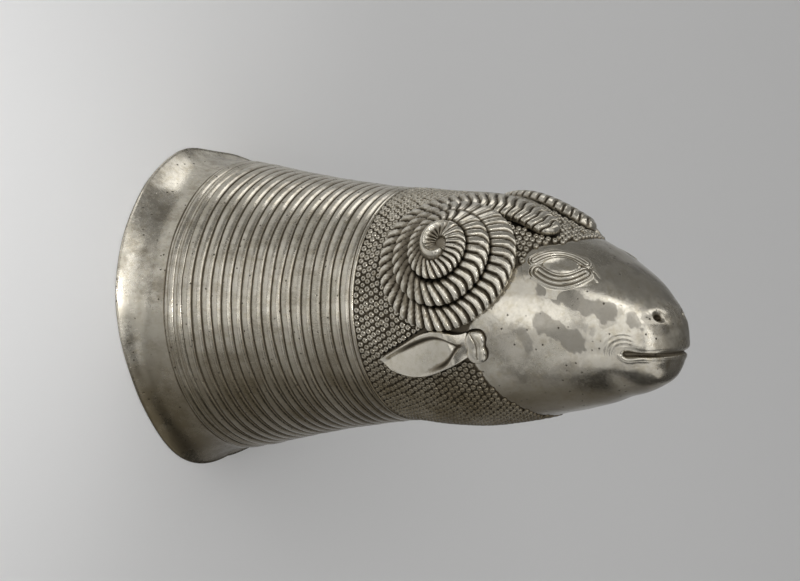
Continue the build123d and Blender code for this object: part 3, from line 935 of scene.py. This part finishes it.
def cross_ridges(turn, ridges, flat, root, curled):
    """1 on the ridges, 0 in the grooves between them.

    The ridges are bent forwards at their outer ends, hooked backwards on the side towards the
    muzzle and wavy near the root, with narrow grooves on that side and broad ones opposite.
    """
    place = np.radians(turn)
    bend = 0.35 - 0.25 * np.cos(place) - 0.12 * np.sin(place)
    hook = (0.1 + 0.2 * np.sin(place)) * flat * flat
    hook = hook - np.maximum(np.cos(place), 0) * np.maximum(flat + 0.1, 0) ** 1.8
    hook = hook + 0.25 * np.sin(np.pi * flat) * ease(150, 80, turn)
    wave = np.abs(np.sin(np.pi * (ridges - bend * flat - hook)))
    crisp = np.maximum(0.5 + 0.5 * np.cos(place - 0.6), 0.7 * root)
    ridge = ease(0, 1, (wave - 0.42 + 0.24 * crisp) / (0.5 - 0.06 * crisp))
    return np.maximum(ridge, curled * ease(0.2, 0.45, flat))


def horn_dirt_and_shade(turn, up, flat, root, curled, furrow):
    """Dirt in the grooves and on the skirts; painted shade where the next turn covers the band, with dirt and
    painted shade reaching further out on the side of the coil towards the neck.
    """
    # Painted shade on the band's inner edge, where the next turn covers it
    painted_turn_shade = ease(80, 130, turn) * ease(1100, 1030, turn)
    # Dirt and painted shade reaching further out on the side of the coil towards the neck
    side_dirt_and_shade = np.maximum(-np.cos(np.radians(turn)), 0) * painted_turn_shade
    return deepest(
        furrow,
        0.45 * ease(0.25, 0.0, up),
        (0.8 - 0.45 * root) * ease(-0.3, -0.7, up),
        0.5 * curled * (up >= 0) * ease(0.45, 0.25, flat),
        0.8 * painted_turn_shade * ease(-0.62, -0.92, flat),
        0.75 * side_dirt_and_shade * ease(0.45, -0.3, flat),
    )


def horn_band():
    """Points of the right horn's band, in rings with a flat top and straight skirts, with its dirt and painted
    shade.
    """
    turn, ridges, path = horn_rings()
    centre, outwards, width, _ = horn_line(turn)
    across, out = horn_axes(turn, centre, outwards)
    turn, ridges, path, width = (values[:, None] for values in (turn, ridges, path, width))
    section = round_turns(SECTION_POINTS)
    side, up = np.cos(section), np.sin(section)
    top, size = up >= 0, np.abs(up)
    root, curled = ease(170, 110, turn), ease(1080, 1200, turn)
    square = 0.5 + 0.25 * root
    flat = signed_power(side, square)
    half = width / 2
    close = round_end(path / half) * round_end((path[-1] - path) / half)
    band = np.minimum(width, HORN_BAND)
    rise = (0.3 + 0.25 * band) * np.clip(close, 0.05, 1) * (1 + 0.3 * root)
    skirt = np.minimum(3.5, 1.5 + 0.01 * np.clip(turn - 200, 0, None)) * close
    sideways = np.where(top, flat, 0.98 * side) * np.maximum(half * close, 0.05)
    upwards = np.where(top, rise * size ** square, -skirt * size ** 0.6)
    fade = ease(HORN_TIP_TURN - 40, HORN_TIP_TURN - 160, turn) * ease(0, 2.0, path)
    groove = 1 - cross_ridges(turn, ridges, flat, root, curled)
    on_top = ease(-0.45, 0.1, up)
    cut = groove * on_top * (RIDGE_DEPTH * band * fade * (1 - 0.15 * root))
    sideways = sideways - cut * 0.4 * side
    upwards = upwards - cut * np.maximum(up, 0) ** 0.5
    upwards = upwards + 0.55 * bell(flat - 0.75, 0.25) * top * curled * close
    points = centre[:, None] + across[:, None] * sideways[..., None] + out[:, None] * upwards[..., None]
    return points, horn_dirt_and_shade(turn, up, flat, root, curled, groove ** 0.8 * on_top * fade)


def horn_core():
    """A shallow bowl that closes the middle of the coil under the horn's tip, and its dirt."""
    seat = Seat(HORN_ALONG, HORN_ANGLE)
    turn = round_turns(CORE_POINTS)[:, None]
    every_other = np.arange(CORE_POINTS) % 2
    edge = seat.origin + CORE_RADIUS * (np.cos(turn) * seat.x + np.sin(turn) * seat.y)
    edge = edge + seat.z * (CORE_LIFT + 0.15 * every_other)[:, None]
    centre = seat.origin + seat.z * (CORE_LIFT - 0.6)
    return np.concatenate([edge, [centre]]), np.append(0.7 - 0.5 * every_other, 0.5)


def make_horns(material):
    """The coiled horns: one band each, with bent cross ridges, closed ends and a core."""
    points, recess = horn_band()
    rings = len(points)
    points, recess = points.reshape(-1, 3), recess.reshape(-1)
    first, last = end_loops(rings, SECTION_POINTS)
    core, core_recess = horn_core()
    ends = len(points)
    points = np.concatenate([points, [points[first].mean(0), points[last].mean(0)], core])
    recess = np.concatenate([recess, [0.5, 0], core_recess])
    faces = [
        grid_faces(rings, SECTION_POINTS, False, True),
        fan_faces(first[::-1], ends),
        fan_faces(last, ends + 1),
        fan_faces(ends + 2 + np.arange(CORE_POINTS), len(points) - 1),
    ]
    add_pair("horn_band", points, faces, recess, material, "horn")


# Ears


EAR_SEAT = Seat(26.4, 291.0, 9.0)
EAR_TIP, EAR_ROOT, HOLLOW_END = -14.7, 15.8, 14.4
# Edges of the ear and of its hollow, from the tip to the root
EAR_TOP = [
    (EAR_TIP, 2.0), (-10, 3.6), (-5.3, 5.0), (1.2, 7.0), (5.6, 7.4), (10.4, 6.1), (13.4, 4.9),
    (EAR_ROOT, 4.9),
]
EAR_FOOT = [
    (EAR_TIP, 2.0), (-11.5, -1.35), (-7.8, -3.6), (-3.5, -4.9), (0.6, -5.1), (5.4, -4.4),
    (10.2, -3.5), (EAR_ROOT, -2.3),
]
HOLLOW_TOP = [
    (EAR_TIP, 1.9), (-5.4, 4.65), (2.3, 6.3), (6.4, 6.2), (9.8, 4.5), (12.4, 2.5), (HOLLOW_END, 1.63),
]
HOLLOW_FOOT = [
    (EAR_TIP, 1.9), (-11.5, -1.05), (-7.8, -3.3), (-3.5, -4.55), (-0.4, -4.7), (4, -4.1),
    (8.8, -2.4), (11.5, -0.1), (HOLLOW_END, 1.63),
]
EAR_ROWS, EAR_COLUMNS = 180, 90
EAR_RISE = 3.3
EAR_DEPTH = 2.3
# Rows down the ear's side walls: how far out, how far below the edge, painted shadow
EAR_WALLS = [(0.1, 0.5, 0.7), (0.15, 1.8, 1.0), (0.1, 4.5, 1.0)]
EAR_SOLE = -1.5


def ear_dish(a, b, across):
    """Height of the ear, and the painted shade in its hollow: a dish, deep under its upper edge and open to the
    lower one.
    """
    in_hollow = a < HOLLOW_END
    upper = curve(HOLLOW_TOP, np.minimum(a, HOLLOW_END)) - b
    lower = b - curve(HOLLOW_FOOT, np.minimum(a, HOLLOW_END))
    share = np.clip(upper / np.maximum(upper + lower, 0.1), 0, 1)
    towards_root = ease(-3, 7, a)
    floor = (1 - share) + share * (0.05 + 0.55 * towards_root)
    floor = floor * np.clip((upper + lower) / 4.5, 0, 1)
    wall = ease(0, 1.7, upper) * ease(0, 0.2 + 1.5 * towards_root, lower) * in_hollow
    stem = ease(9, 16, a)
    height = EAR_RISE - 2.1 * stem * (1 + 0.2 * across ** 2) - EAR_DEPTH * floor * wall
    height = height - 0.35 * bell(1 - np.abs(across), 0.03)
    height = height * (0.75 + 0.25 * ease(EAR_TIP, -11, a))
    # Painted shade under the hollow's upper edge and along its lower wall towards the root
    shaded = np.maximum(bell(upper - 0.9, 0.9), towards_root * bell(lower - 0.8, 0.9))
    inside = (np.minimum(upper, lower) > 0) & in_hollow
    return height, 0.95 * shaded * inside * ease(-12, -2, a)


def make_ears(material):
    """Leaf-shaped ears: a dished leaf with side walls down into the head."""
    share = (1 - np.cos(np.linspace(0, np.pi, EAR_ROWS))) / 2
    a = (EAR_TIP + (EAR_ROOT - EAR_TIP) * share)[:, None]
    across = np.linspace(-1, 1, EAR_COLUMNS)[None, :]
    foot = curve(EAR_FOOT, a)
    top = np.maximum(curve(EAR_TOP, a), foot + 0.02)
    b = foot + (top - foot) * (across + 1) / 2
    height, recess = ear_dish(a, b, across)
    low_edge, high_edge = height[:, :1], height[:, -1:]
    for out, drop, dark in EAR_WALLS:
        low, high = (np.maximum(edge - drop, EAR_SOLE) for edge in (low_edge, high_edge))
        # The side walls get painted shadow
        dirt = np.full_like(low, dark)
        b = np.concatenate([foot - out, b, top + out], 1)
        height = np.concatenate([low, height, high], 1)
        recess = np.concatenate([dirt, recess, dirt], 1)
    base, normal = EAR_SEAT.plant(np.broadcast_to(a, b.shape), b)
    points = base + normal * height[..., None]
    rows, columns = b.shape
    number = np.arange(rows * columns).reshape(rows, columns)
    loop = np.concatenate([number[0, :-1], number[:-1, -1], number[-1, :0:-1], number[:0:-1, 0]])
    points = np.concatenate([points.reshape(-1, 3), [EAR_SEAT.origin - EAR_SEAT.z * 4]])
    faces = [grid_faces(rows, columns), fan_faces(loop, rows * columns)[:, ::-1]]
    recess = np.append(recess.reshape(-1), 1)
    add_pair("ear_leaf", points, faces, recess, material, "ear")


KNOB_SEAT = Seat(44.6, 287.0)
KNOB_CENTRE = (-0.1, 0.0)
KNOB_HALF_WIDTH, KNOB_HALF_LENGTH, KNOB_RISE = 3.4, 5.2, 2.3
KNOB_SQUARE = 0.75
KNOB_RINGS, KNOB_COLUMNS = 40, 128
KNOB_CREASE = [(-1.3, 4.4), (-0.9, 3.5), (0.0, 1.5), (0.15, 0.1), (-0.1, -2.5), (0.05, -3.5)]
SECOND_CREASE = [(a + 0.45, b) for a, b in KNOB_CREASE[1:5]]


def make_knobs(material):
    """Two-lobed knobs at the ear roots, with a wavering crease along each."""
    turn = round_turns(KNOB_COLUMNS)
    reach = np.append(np.linspace(0.02, 1, KNOB_RINGS), [1.03, 1.03])[:, None]
    edge_b = signed_power(np.sin(turn), KNOB_SQUARE) * KNOB_HALF_LENGTH
    waist = 1 - 0.2 * bell(edge_b, 1.5)
    edge_a = signed_power(np.cos(turn), KNOB_SQUARE) * KNOB_HALF_WIDTH * waist
    a, b = KNOB_CENTRE[0] + reach * edge_a, KNOB_CENTRE[1] + reach * edge_b
    dome = np.clip(1 - np.minimum(reach, 1) ** 10, 0, 1) ** 0.5
    saddle = 1 - 0.13 * bell(b - KNOB_CENTRE[1], 1.4)
    crease = distance_to_line(a, b, KNOB_CREASE)
    second = distance_to_line(a, b, SECOND_CREASE)
    height = KNOB_RISE * dome * saddle - 0.3 * bell(crease, 0.22) - 0.12 * bell(second, 0.2)
    height[-1] = -1.2
    rim = ease(0.9, 0.99, reach)
    recess = deepest(rim, 0.8 * bell(crease, 0.2), 0.4 * bell(second, 0.2))
    base, normal = KNOB_SEAT.plant(a, b)
    points = base + normal * height[..., None]
    bottom = KNOB_SEAT.origin - KNOB_SEAT.z * 2.5
    add_pads("knob_pad", points, bottom, recess, material, "ear_knob")


# Eyes


EYE_SEAT = Seat(69.1, 229.8, 19.0)
EYE_PATCH = (12.4, 9.8)
EYE_CENTRE = (0.2, -1.0)
EYE_RINGS, EYE_COLUMNS = 150, 300
EYE_RELIEF = 0.85
EYE_SINK = 0.6
TEAR_LINE = [(5.4, 0.4), (7.4, -0.6), (9.3, -1.6), (11.2, -4.2)]
# Lids, each along an arch: its ends, peak, bow and middle; pitch of its folds, half-width, height
UPPER_LID = ((-8.6, 7.1, 4.7, 0.056, -0.6), 1.02, 1.75, 0.95)
LOWER_LID = ((-7.2, 7.0, -5.6, -0.060, -0.2), 1.4, 2.35, 0.75)
BALL_CENTRE, BALL_HALF, BALL_RISE = (-0.2, -0.1), (5.9, 3.9), 1.5


def eye_socket(points):
    """How far the skin sinks round the upper half of each eye."""
    folded = np.stack([points[..., 0], -np.abs(points[..., 1]), points[..., 2]], -1)
    a, b = EYE_SEAT.place(folded)
    reach = oval(a, b, EYE_CENTRE, EYE_PATCH)
    near = (folded - EYE_SEAT.origin) @ EYE_SEAT.z > -8
    return EYE_SINK * near * ease(1.25, 0.7, reach) * ease(-4, 3, b)


def arch_line(start, end, peak, bow, middle):
    """Points on a shallow arch: peak is its height at middle, bow how fast it falls away."""
    return [(a, peak - bow * (a - middle) ** 2) for a in np.linspace(start, end, 24)]


def eye_lid(a, b, arch, pitch, half, height):
    """Where one lid lies, its height with fine nested folds, and the dirt between the folds."""
    distance = distance_to_line(a, b, arch_line(*arch))
    fold = -np.cos(2 * np.pi * distance / pitch)
    lid = np.exp(-(distance / half) ** 6)
    return lid, lid * (height + 0.25 * fold), lid * ease(0.0, -0.95, fold)


def make_eyes(material):
    """Eyes: a smooth ball between lids of fine nested folds that turn back at their ends."""
    reach = np.linspace(0.004, 1, EYE_RINGS)[:, None]
    turn = round_turns(EYE_COLUMNS)
    a = EYE_CENTRE[0] + reach * EYE_PATCH[0] * np.cos(turn)
    b = EYE_CENTRE[1] + reach * EYE_PATCH[1] * np.sin(turn)
    upper, lower = eye_lid(a, b, *UPPER_LID), eye_lid(a, b, *LOWER_LID)
    on_lid, lids, fold_dirt = (np.maximum(*parts) for parts in zip(upper, lower))
    lids = lids * (1 - 0.45 * ease(2.5, 7, b))
    from_ball = oval(a, b, BALL_CENTRE, BALL_HALF)
    ball = BALL_RISE * np.sqrt(np.clip(1 - from_ball ** 2, 0, 1)) - 0.25
    tear = distance_to_line(a, b, TEAR_LINE)
    duct = (0.3 * bell(tear - 0.7, 0.4) - 0.35 * bell(tear, 0.35)) * ease(1.0, 0.85, reach)
    swell = 0.14 * ease(1.0, 0.5, reach) - 0.07
    height = swell + np.maximum(lids, ball * (from_ball < 1)) + duct * (1 - on_lid)
    recess = deepest(0.75 * fold_dirt, 0.6 * bell(tear, 0.35)) * (ball < lids)
    recess = deepest(recess, 0.9 * bell(ball - lids, 0.16) * (from_ball < 1))
    base, normal = EYE_SEAT.plant(a, b)
    points = base + normal * (EYE_RELIEF * height - eye_socket(base))[..., None]
    add_pads("eye_lids", points, EYE_SEAT.origin - EYE_SEAT.z * 6, recess, material, "eye")


# Fleece


CURL_SPACING = 2.12
CURL_ROW_STEP = 1.84
FLEECE_END = 69
# One curl from its middle outwards: radius in half spacings, height, dirt
CURL_PROFILE = [
    (0.14, 0.56, 0.6), (0.3, 0.66, 0.45), (0.5, 0.88, 0.0), (0.7, 0.78, 0.05), (0.92, 0.32, 0.5),
    (1.05, -0.4, 0.8),
]
CURL_SIDES = 9
# The horn's first turns lie on the fleece, up to this turn
HORN_SEAT_TURN = 560
# Half-sizes of the places left free for a knob and an eye
KNOB_CLEAR, EYE_CLEAR = (4.6, 6.4), (9.8, 7.6)
EYE_CLEAR_CENTRE = (-0.4, -0.6)


def free_places(along, angle, points):
    """True for places in the fleece that no horn, ear, knob or eye covers."""
    free = along < fleece_edge(angle) - 0.2
    _, _, width, below = horn_line(np.linspace(HORN_ROOT_TURN + 6, HORN_SEAT_TURN, 400))
    gap = np.linalg.norm(points[:, None] - below[None], axis=-1) - width / 2
    free &= gap.min(1) > -0.1
    coil_centre = Seat(HORN_ALONG, HORN_ANGLE).origin
    free &= np.linalg.norm(points - coil_centre, axis=1) > HORN_COIL_RADIUS
    a, b = EAR_SEAT.place(points)
    on_ear = np.clip(a, EAR_TIP, EAR_ROOT)
    beside_ear = (b < curve(EAR_TOP, on_ear) + 0.9) & (b > curve(EAR_FOOT, on_ear) - 0.9)
    free &= ~((a > EAR_TIP - 0.5) & (a < EAR_ROOT + 1.7) & beside_ear)
    free &= oval(*KNOB_SEAT.place(points), KNOB_CENTRE, KNOB_CLEAR) > 1
    return free & (oval(*EYE_SEAT.place(points), EYE_CLEAR_CENTRE, EYE_CLEAR) > 1)


def curl_places(draws):
    """Places and outward directions of the fleece's curls on the ram's right half."""
    first = path_at(100 * (NECK_RING_TOP - NECK_HEIGHT + 1.0) / HEAD_LENGTH)
    rows = np.arange(first, path_at(FLEECE_END), CURL_ROW_STEP)
    along, angle = [], []
    for row, ring in enumerate(head_sections(rows, HEAD_COLUMNS)):
        path = path_length(np.concatenate([ring[HEAD_COLUMNS // 2:], ring[:1]]))
        count = round(path[-1] / CURL_SPACING)
        places = (np.arange(count) + 0.25 + 0.5 * (row % 2)) * path[-1] / count
        along.append(np.full(count, np.interp(rows[row], HEAD_PATH, HEAD_ALONG)))
        angle.append(np.interp(places, path, np.linspace(180, 360, len(path))))
    along, angle = np.concatenate(along), np.concatenate(angle)
    along = along + draws.normal(0, 0.13, len(along))
    angle = angle + draws.normal(0, 0.22, len(angle))
    points, normals = head_at(along, angle)
    free = free_places(along, angle, points)
    return points[free], normals[free]


def make_fleece(material):
    """The fleece: rows of small ring-punched curls on both halves of the head."""
    draws = seeded(FLEECE_DRAWS)
    points, normals = curl_places(draws)
    lean = unit(normals + draws.normal(0, 0.07, points.shape))
    x = unit(np.cross(lean, [0.0, 0.0, 1.0]))
    y = np.cross(lean, x)
    size = CURL_SPACING / 2 * draws.normal(1.03, 0.05, len(points))
    turn = round_turns(CURL_SIDES)[None, :, None]
    circle = np.cos(turn) * x[:, None] + np.sin(turn) * y[:, None]
    ground = points - normals * FLEECE_SINK
    radii, heights, dirt = zip(*CURL_PROFILE)
    rings = [
        ground[:, None] + size[:, None, None] * radius * circle + (lean * height)[:, None]
        for radius, height in zip(radii, heights)
    ]
    tops = ground + lean * (heights[0] - 0.02)
    verts = np.concatenate([np.stack(rings, 1).reshape(len(points), -1, 3), tops[:, None]], 1)
    per_curl = verts.shape[1]
    sides = grid_faces(len(CURL_PROFILE), CURL_SIDES, False, True)[:, ::-1]
    cap = fan_faces(np.arange(CURL_SIDES), per_curl - 1)
    starts = (np.arange(len(points)) * per_curl)[:, None, None]
    faces = [(sides[None] + starts).reshape(-1, 4), (cap[None] + starts).reshape(-1, 3)]
    recess = np.tile(np.append(np.repeat(dirt, CURL_SIDES), dirt[0]), len(points))
    verts = verts.reshape(-1, 3)
    add_pair("fleece_curls", verts, faces, recess, material, "head_shell")


# Scene


FLOOR_HALF = 3.0
FLOOR_COLOUR = (0.8, 0.8, 0.8, 1)
FLOOR_ROUGHNESS = 0.9
CAMERA_PLACE = Vector((-48.98, -782.87, 605.36)) * MM
CAMERA_TARGET = Vector((-4.2, 0.0, 71.9)) * MM
CAMERA_UP = Vector((-0.99796, 0.06386, 0.00219))
LENS, SENSOR, CLIP_END = 135.0, 36.0, 50.0
CUP_MIDDLE = (0, 0, 0.08)
# Soft panels, in metres: name, place, width, height, radiance, and a target and spread of its own
SOFTBOXES = [
    ("front", (-0.03, -0.75, 1.22), 1.3, 0.62, 0.98),
    ("middle_front", (-0.36, -1.0, 0.80), 1.3, 0.40, 0.95),
    ("low_front", (0.19, -1.13, 0.36), 3.0, 0.48, 0.57),
    ("low_key", (0.045, -1.0, 0.25), 0.36, 0.26, 0.7),
    ("strip", (-0.76, 0.05, 1.12), 2.3, 0.3, 1.4),
    ("key", (-0.2, 0.029, 0.062), 0.11, 0.105, 0.31, (0, 0, 0.056), 80),
    ("chin", (1.08, -0.12, 0.84), 1.4, 0.7, 0.72),
    ("over", (0.0, -0.08, 1.7), 1.3, 1.2, 0.5),
]
# A soft spot on the floor before the cup: the cup itself stays outside its cone
SPOT_PLACE, SPOT_TARGET = (-0.06, -0.8, 1.1), (-0.07, -0.2, 0)
SPOT_POWER, SPOT_ANGLE, SPOT_RADIUS = 37, 17, 0.12
ROOM_COLOUR = (1.0, 0.99, 0.97, 1)
CROWN_SIDE_STRENGTH, CHIN_SIDE_STRENGTH = 0.28, 0.09


def make_camera():
    """The camera at the photograph's viewing angle; the cup's axis lies across the picture."""
    data = bpy.data.cameras.new("camera")
    data.lens, data.sensor_width, data.clip_end = LENS, SENSOR, CLIP_END
    camera = show("camera", data)
    back = (CAMERA_PLACE - CAMERA_TARGET).normalized()
    right = CAMERA_UP.cross(back).normalized()
    turned = Matrix((right, back.cross(right), back)).transposed().to_4x4()
    camera.matrix_world = Matrix.Translation(CAMERA_PLACE) @ turned
    bpy.context.scene.camera = camera


def make_floor():
    """A plain pale floor."""
    mesh = bpy.data.meshes.new("floor")
    signs = ((-1, -1), (1, -1), (1, 1), (-1, 1))
    mesh.from_pydata([(x * FLOOR_HALF, y * FLOOR_HALF, 0) for x, y in signs], [], [(0, 1, 2, 3)])
    material = bpy.data.materials.new("floor_paper")
    material.use_nodes = True
    shader = material.node_tree.nodes["Principled BSDF"]
    shader.inputs["Base Color"].default_value = FLOOR_COLOUR
    shader.inputs["Roughness"].default_value = FLOOR_ROUGHNESS
    mesh.materials.append(material)
    floor = show("floor", mesh)


def add_light(name, kind, place, target, energy):
    """A light of some kind at a place in metres, aimed at a target."""
    data = bpy.data.lights.new(name, kind)
    data.energy = energy
    light = show(name, data)
    light.location = place
    light.rotation_euler = (Vector(target) - Vector(place)).to_track_quat("-Z", "Y").to_euler()
    return light


def add_softbox(name, place, width, height, radiance, target=CUP_MIDDLE, spread=180):
    """A soft rectangular light; radiance 1 shows as white where its spread is 180 degrees."""
    light = add_light(name, "AREA", place, target, radiance * math.pi * width * height)
    light.data.shape = "RECTANGLE"
    light.data.size, light.data.size_y = width, height
    light.data.spread = math.radians(spread)
    light.visible_camera = False


def make_lights():
    """Soft panels, a spot on the floor, and a dim room around them."""
    for softbox in SOFTBOXES:
        add_softbox(*softbox)
    spot = add_light("floor_front", "SPOT", SPOT_PLACE, SPOT_TARGET, SPOT_POWER)
    spot.data.spot_size, spot.data.spot_blend = math.radians(SPOT_ANGLE), 1.0
    spot.data.shadow_soft_size = SPOT_RADIUS
    world = bpy.data.worlds.new("room")
    bpy.context.scene.world = world
    n = Nodes(world, "Generated")
    strength = n.range(n.axis("X"), -0.9, 0.9, CROWN_SIDE_STRENGTH, CHIN_SIDE_STRENGTH, "LINEAR")
    background = n.tree.nodes["Background"]
    n.link(strength, background.inputs["Strength"])
    background.inputs["Color"].default_value = ROOM_COLOUR


def main():
    """Build the cup piece by piece, then the stage."""
    sheet = silver("silver_sheet_worn", tarnish=0.55, polish=0.2, pits=0.5, dull=0.04, stains=0.18,
                   chin_shade=(0, 30), streak=2.0, mottling=0.55)
    ribs = silver("silver_ribs_worn", tarnish=0.5, polish=0.16, pits=0.45, dull=0.04,
                  chin_shade=(-6, 27), streak=5.0, mottling=0.4)
    face = silver("silver_face_polished", tarnish=0.35, polish=0.15, pits=0.5, grain=1.2, stains=0.3,
                  chin_shade=(14, 29), mottling=0.16)
    cast = silver("silver_cast_worn", tarnish=0.3, polish=0.18, pits=0.1, chin_shade=(18, 42))
    trim = silver("silver_trim_clean", tarnish=0.15, polish=0.16, pits=0.12, chin_shade=(18, 42))
    fleece = silver("silver_fleece_dirty", tarnish=0.5, polish=0.19, pits=0.05, dull=0.2, grain=0.8,
                    chin_shade=(2, 26))
    solder = silver("solder_grey", tarnish=0.8, polish=0.4, pits=0.1, dull=0.3)
    make_lip(sheet)
    make_ring(ribs)
    make_body(ribs)
    make_neck_ring(ribs)
    make_head(face, fleece)
    make_horns(cast)
    make_ears(trim)
    make_knobs(trim)
    make_eyes(trim)
    make_fleece(fleece)
    for node in ("lip_solder", "neck_solder"):
        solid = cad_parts[node]
        solid.data.materials.clear()
        solid.data.materials.append(solder)
    make_camera()
    make_floor()
    make_lights()
    bpy.context.scene.view_settings.view_transform = "Standard"


main()
